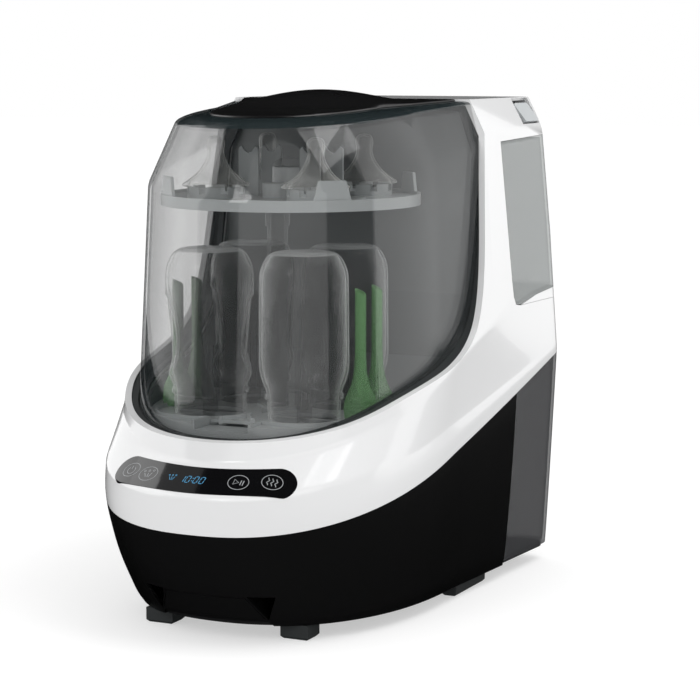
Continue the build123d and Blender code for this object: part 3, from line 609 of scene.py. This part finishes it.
def add_panel_marks():
    """Rings with generic symbols for the touch buttons, and a four-figure clock display."""
    glass = bmesh.new()
    glass.from_mesh(nodes["control_lens"].data)
    surface = BVHTree.FromBMesh(glass)
    glass.free()
    marks = bmesh.new()
    for u, v, radius in BUTTONS:
        ribbon(marks, surface, circle(u, v, radius, 64, squat=RING_SQUAT), 0.5, closed=True)
    u, v, _ = BUTTONS[0]
    ribbon(marks, surface, circle(u, v - 0.3, 3.6, 24, radians(125), radians(415)), 0.6)
    ribbon(marks, surface, [(u, v + 0.6), (u, v + 4.2)], 0.6)
    u, v, _ = BUTTONS[1]
    for lean in (-1, 0, 1):
        ribbon(marks, surface, [(u + lean * 1.2, v - 3.4), (u + lean * 3.6, v + 0.8)], 0.6)
        ribbon(marks, surface, circle(u + lean * 4.2, v + 3.0, 0.8, 12), 0.5, closed=True)
    u, v, _ = BUTTONS[2]
    ribbon(marks, surface, [(u - 3.6, v - 2.4), (u - 3.6, v + 2.4), (u + 0.4, v)], 0.6, closed=True)
    for bar in (2.0, 4.0):
        ribbon(marks, surface, [(u + bar, v - 2.4), (u + bar, v + 2.4)], 0.7)
    u, v, _ = BUTTONS[3]
    for wave in (-3.2, 0.0, 3.2):
        line = [(u + wave + 0.9 * sin(s * 1.5), v + s) for s in (-3.6, -2.4, -1.2, 0, 1.2, 2.4, 3.6)]
        ribbon(marks, surface, line, 0.6)
    finished(mesh_object("panel_symbols", marks), "housing", "symbol_grey", slot="panel_black")

    lit = bmesh.new()
    for figure, u in zip("1000", (-16.2, -11.2, -4.4, 1.0)):
        digit(lit, surface, figure, u + DISPLAY_SHIFT, -3.0)
    for v in (-1.0, 1.6):
        colon = -5.4 + DISPLAY_SHIFT + v * FIGURE_LEAN
        ribbon(lit, surface, [(colon, v - 0.4), (colon, v + 0.4)], 0.7)
    for lean in (-1, 0, 1):
        ribbon(lit, surface, [(-20.5 + lean * 0.9, -1.4), (-20.5 + lean * 2.4, 1.8)], 0.4)
        ribbon(lit, surface, circle(-20.5 + lean * 2.9, 3.4, 0.6, 10), 0.35, closed=True)
    finished(mesh_object("panel_figures", lit), "housing", "figure_blue", slot="panel_black")


# ---------------------------------------------------------------- housing
LEDGE_START, LEDGE_END, LEDGE_REACH = 6.0, 9.4, 5.8   # the ledge under the rim: from the rim line, and inward
BAY_FRAME = 3.0
BUTTON_GAP, INLET_GAP = 0.35, 0.3
OVERRUN = 6.0   # how far a hollow runs on below its body
# Front views, as width and height: one finger notch, and the drawer's mouth, which widens towards its foot.
NOTCH = [(36, 38.5), (57, 38.5), (46.8, 17.5)]
DRAWER_MOUTH = [(-52.325, 4.2), (-34.914, 37.3), (34.914, 37.3), (52.325, 4.2)]
TANK_FLOOR, TANK_WALL, TANK_BOTTOM, TANK_TOP_WALL, TANK_GAP = 15.4, 2.6, 3.0, 2.8, 0.6


def grown(points, distance):
    """A side-view or front-view outline with each edge moved out by a distance."""
    area = sum(a[0] * b[1] - b[0] * a[1] for a, b in zip(points, points[1:] + points[:1]))
    turn = distance if area > 0 else -distance
    result = []
    for before, corner, after in zip(points[-1:] + points[:-1], points, points[1:] + points[:1]):
        lines = []
        for a, b in ((before, corner), (corner, after)):
            size = sqrt((b[0] - a[0]) ** 2 + (b[1] - a[1]) ** 2)
            n = ((b[1] - a[1]) / size * turn, -(b[0] - a[0]) / size * turn)
            lines.append(((a[0] + n[0], a[1] + n[1]), (b[0] - a[0], b[1] - a[1])))
        (p, d), (q, e) = lines
        cross = d[0] * e[1] - d[1] * e[0]
        t = ((q[0] - p[0]) * e[1] - (q[1] - p[1]) * e[0]) / cross
        result.append((p[0] + d[0] * t, p[1] + d[1] * t))
    return result


def inner_body(name, inset, rear, table=CASING, corner=16.0):
    """A body inset from the outer one and running a little lower, so that it opens the bottom."""
    rows = blended(table)
    first, second = rows[0], rows[1]
    drop = OVERRUN / (second[0] - first[0])
    rows[0] = [a - (b - a) * drop for a, b in zip(first, second)]
    return lofted(name, rows, inset, rear, corner)


def casing(name, inset=0.0):
    """The housing's outer form, or the space inside it, with the tower's chamfers."""
    form = inner_body(name, inset, REAR - inset) if inset else lofted(name, blended(CASING))
    return combined(form, tower_block("tower", inset), "INTERSECT")


def node_box(name):
    """A CAD node's lowest and highest corners, in mm about the chamber's axis."""
    return [(x / MM, y / MM - AXIS / MM, z / MM) for x, y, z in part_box(name)]


def add_upper_housing():
    """The white housing: rim lip, control band, tower and the bay for the clean tank.

    Its cutting blocks differ a little in size, so that no two of their faces lie in one plane.
    """
    shell = casing("housing_white")
    wide = combined(casing("hollow_low", WALL), rim_block("rim_low", LIP_DEPTH), "DIFFERENCE")
    combined(wide, prism("bay_frame", grown(TANK_WAY, BAY_FRAME), "X", -200, 200), "DIFFERENCE")
    ledge = combined(rim_block("ledge", LEDGE_END), rim_block("rim_high", LEDGE_START), "DIFFERENCE")
    combined(ledge, inner_body("ledge_bore", LEDGE_REACH, LID_REAR + 30, LID, 4), "DIFFERENCE")
    narrow = combined(casing("hollow_lip", LIP_WALL), ledge, "DIFFERENCE")
    combined(narrow, prism("bay_frame", grown(TANK_WAY, BAY_FRAME + 0.05), "X", -201, 201), "DIFFERENCE")
    combined(shell, wide, "DIFFERENCE")
    combined(shell, narrow, "DIFFERENCE")
    combined(shell, seam_block("seam", -0.25), "DIFFERENCE")
    combined(shell, rim_block("rim"), "DIFFERENCE")
    combined(shell, prism("window", TANK_WAY, "X", -210, 210), "DIFFERENCE")
    under_band = inner_body("band_floor", SLOT_DEPTH, REAR - SLOT_DEPTH)
    combined(shell, combined(slot_block("slot"), under_band, "DIFFERENCE"), "DIFFERENCE")
    for side in ("left", "right"):
        low, high = node_box("release_button_" + side)
        combined(shell, block("gap", low[0] - BUTTON_GAP, high[0] + BUTTON_GAP, low[1] - BUTTON_GAP,
                              high[1] + BUTTON_GAP, low[2] - BUTTON_GAP, high[2] + 4), "DIFFERENCE")
    low, high = node_box("power_inlet")
    combined(shell, block("inlet_hole", low[0] - INLET_GAP, high[0] + INLET_GAP, REAR - 9, REAR + 9,
                          low[2] - INLET_GAP, high[2] + INLET_GAP), "DIFFERENCE")
    finished(smooth(shell), "housing", "white_shell", "upper_housing")


def add_base_shell():
    """The black housing under the seam, with the drawer's mouth and its two finger notches."""
    shell = combined(casing("housing_black"), casing("base_cavity", WALL), "DIFFERENCE")
    combined(shell, seam_block("seam_low"), "INTERSECT")
    combined(shell, block("tank_room", -200, 200, TANK_FRONT - 0.4, 300, -5, 260), "DIFFERENCE")
    for side in (-1, 1):
        combined(shell, prism("notch", [(side * x, z) for x, z in NOTCH], "Y", -190, -126), "DIFFERENCE")
    combined(shell, prism("mouth", DRAWER_MOUTH, "Y", -190, -100), "DIFFERENCE")
    finished(smooth(shell), "housing", "black_shell", "base_shell")


def add_waste_tank():
    """The smoked tank that fills the black housing's rear, open inside."""
    tank = combined(casing("tank_smoke"), seam_block("seam_tank", TANK_GAP), "INTERSECT")
    combined(tank, block("tank_depth", -200, 200, TANK_FRONT, 300, TANK_FLOOR, 260), "INTERSECT")
    hollow = combined(casing("tank_hollow", TANK_WALL), seam_block("seam_hollow", TANK_GAP + TANK_TOP_WALL),
                      "INTERSECT")
    combined(hollow, block("hollow_depth", -200, 200, TANK_FRONT + TANK_WALL, 300,
                           TANK_FLOOR + TANK_BOTTOM, 260), "INTERSECT")
    combined(tank, hollow, "DIFFERENCE")
    finished(smooth(tank), "waste_tank_set", "smoke_tank", "waste_tank")


# ---------------------------------------------------------------- lid
LID_WALL, LID_SKIRT = 2.8, 1.9   # the cover's wall, and how far its edge passes the rim line
LID_ROOF_BAND = 5.6   # how far under the roof the cover is tinted darker
PLATE_SECTION = (0.0, 0.0, 66.0, 30.0, 76.0, 2.2, 99.0)
PLATE_EDGE = [(0.985, -0.6), (1.0, 0.4), (0.992, 1.5)]   # size and height over the roof of its outer rings
PLATE_RISE, PLATE_RINGS, PLATE_MIDDLE = 1.8, 26, 34.0
HUMP_HEIGHT, HUMP_MIDDLE, HUMP_HALF_WIDTH, HUMP_HALF_DEPTH, HUMP_POWER = 11.2, 50.0, 82.0, 66.0, 1.7


def roof_height(y):
    height, climb, _, _, reach = LID[3][:5]
    return height + climb * (y + reach)


def add_lid():
    """The tinted clear cover, open below, with its roof in a darker tint."""
    shell = lofted("lid_shell", blended(LID), rear=LID_REAR, corner=4)
    thin = [*LID[:3], (LID[3][0] - LID_WALL, *LID[3][1:])]
    combined(shell, inner_body("lid_space", LID_WALL, LID_REAR + 8, thin, 4), "DIFFERENCE")
    combined(shell, rim_block("lid_edge", LID_SKIRT), "INTERSECT")
    finished(smooth(shell, 35), "lid", "lid_clear", "lid_cover")
    shell.data.materials.append(MATERIALS["lid_dark"])
    for face in shell.data.polygons:
        y = (face.center.y - AXIS) / MM
        if face.center.z / MM > roof_height(y) - LID_ROOF_BAND:
            face.material_index = 1


def add_lid_plate():
    """The dark plate on the lid: a long D with a smooth hump towards its back."""
    bm = bmesh.new()
    ring = [(p.x / MM, (p.y - AXIS) / MM) for p in outline(PLATE_SECTION, 0.0, LID_REAR - 12, 6.0)]
    rows = []
    for scale, rise in PLATE_EDGE + [(1 - i / PLATE_RINGS, PLATE_RISE) for i in range(1, PLATE_RINGS)]:
        row = []
        for x, y in ring:
            px, py = x * scale, PLATE_MIDDLE + (y - PLATE_MIDDLE) * scale
            oval = 1 - (px / HUMP_HALF_WIDTH) ** 2 - ((py - HUMP_MIDDLE) / HUMP_HALF_DEPTH) ** 2
            hump = HUMP_HEIGHT * max(0.0, oval) ** HUMP_POWER if rise == PLATE_RISE else 0.0
            row.append(bm.verts.new(place(px, py, roof_height(py) + rise + hump)))
        rows.append(row)
    bridge(bm, rows)
    bm.faces.new(rows[-1])
    bm.faces.new(rows[0])
    finished(smooth(mesh_object("lid_plate", bm), 50), "lid", "plate_black", "lid_handle")


# ---------------------------------------------------------------- bottles and teats
THREAD_START, THREAD_END, THREAD_PITCH, THREAD_DEPTH = 3.0, 14.0, 3.6, 0.9
THREAD_RADIUS = 29.5   # only the neck, which is narrower than this, has the ridges
GRIPS = (-154.0, -62.0, 35.0, -80.0)   # which way each bottle's first oval grip faces, in degrees
GRIP_MIDDLE, GRIP_HALF_HEIGHT, GRIP_HALF_TURN, GRIP_DEPTH = 62.0, 31.0, 0.72, 8.5


def ridged(points, foot):
    """A bottle's outline with the ridges that hold its cap added round its neck."""
    result = []
    for radius, height in points:
        above = height - foot
        if THREAD_START < above < THREAD_END and radius < THREAD_RADIUS:
            radius += THREAD_DEPTH * max(0.0, sin(2 * pi * (above - THREAD_START) / THREAD_PITCH))
        result.append((radius, height))
    return result


def add_bottles():
    """Four clear bottles, neck down, each a turned wall with oval grips pressed into it."""
    z, top = (corner[2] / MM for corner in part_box("bottle_1"))
    outside = rounded([(28.2, z), (28.9, z + 2), (28.9, z + 15), (31.0, z + 16), (31.0, z + 19),
                       (29.6, z + 21), (35.7, z + 36), (35.2, z + 108), (34.6, top - 14),
                       (27.0, top - 0.2), (0.0, top - 0.2)],
                      [0.6, 1, 0.4, 0.4, 1.2, 9, 20, 9, 9])
    inside = rounded([(26.0, top - 2.4), (32.4, top - 15), (33.2, z + 108), (33.7, z + 37),
                      (27.2, z + 22), (26.8, z)], [8, 8, 16, 8])
    wall = ridged(outside, z) + [(0.0, top - 2.4)] + inside
    for number, facing in enumerate(GRIPS, 1):
        node = f"bottle_{number}"
        piece = turned(f"clear_{node}", wall, centre_of(node), "lower_rack_set", "bottle_clear", node)
        press_grips(piece, centre_of(node), z + GRIP_MIDDLE, radians(facing))
        piece.visible_shadow = False


def press_grips(piece, centre, height, facing):
    """Two opposite oval hollows for the fingers, pressed into a bottle's wall."""
    for vertex in piece.data.vertices:
        x = vertex.co.x / MM - centre[0]
        y = (vertex.co.y - AXIS) / MM - centre[1]
        radius, angle = sqrt(x * x + y * y), atan2(y, x)
        for turn in (0.0, pi):
            away = (angle - facing - turn + pi) % (2 * pi) - pi
            oval = 1 - (away / GRIP_HALF_TURN) ** 2 - ((vertex.co.z / MM - height) / GRIP_HALF_HEIGHT) ** 2
            if oval > 0 and radius > 25:
                share = 1 - GRIP_DEPTH * min(1.0, oval * 1.5) ** 0.8 * (1 - abs(away) * 0.4) / radius
                vertex.co.x = (centre[0] + x * share) * MM
                vertex.co.y = (centre[1] + y * share) * MM + AXIS
                break


def add_teats():
    """Four soft teats on the upper rack, each a turned wall."""
    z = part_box("teat_1")[0][2] / MM
    outside = rounded([(26.2, z), (27, z + 0.4), (27, z + 1.8), (24, z + 3.6), (14, z + 11), (7.6, z + 21),
                       (6.2, z + 27), (7.3, z + 32), (7.3, z + 36), (5, z + 39.3), (0.0, z + 40.2)],
                      [0.3, 0.6, 1.5, 5, 5, 3, 2.5, 2, 2])
    inside = rounded([(0.0, z + 38.6), (4, z + 37.8), (5.8, z + 35), (5.8, z + 33), (4.8, z + 27), (6, z + 20),
                      (12.6, z + 10.0), (21, z + 3.6), (22, z)], [1, 1.5, 1, 2, 3, 4, 3])
    for number in range(1, 5):
        node = f"teat_{number}"
        piece = turned(f"soft_{node}", outside + inside, centre_of(node), "upper_rack_set", "silicone", node)
        piece.visible_shadow = False


add_camera()
add_studio()
dress_cad_nodes()
add_upper_housing()
add_base_shell()
add_waste_tank()
add_lid()
add_lid_plate()
add_bottles()
add_teats()
add_panel_marks()
